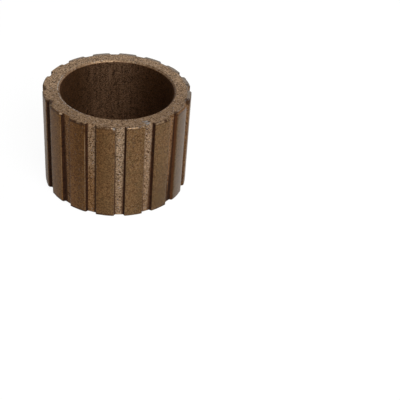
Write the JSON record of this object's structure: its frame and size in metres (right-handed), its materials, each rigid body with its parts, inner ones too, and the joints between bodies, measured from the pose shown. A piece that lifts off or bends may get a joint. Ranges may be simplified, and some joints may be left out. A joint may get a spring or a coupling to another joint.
{
  "type": "grooved sintered bronze bushing",
  "caption": "Plain sleeve bushing of sintered bronze with a chamfered through bore and flat-topped lands and shallow grooves running the full length of its outside.",
  "frame": {"origin": "centre of the bore at the lower end face, the face the bushing stands on", "axes": "+Z along the bore to the upper end face; one land is centred on +X and, as there are sixteen, one on every row axis across the bore"},
  "size_m": [0.026, 0.026, 0.0184],
  "materials": {
    "sintered_bronze": "matt, fine-grained pressed powder metal, oil-darkened, burnished on the lands"
  },
  "bodies": {
    "root": {"bushing": "sintered_bronze"}
  },
  "joints": []
}
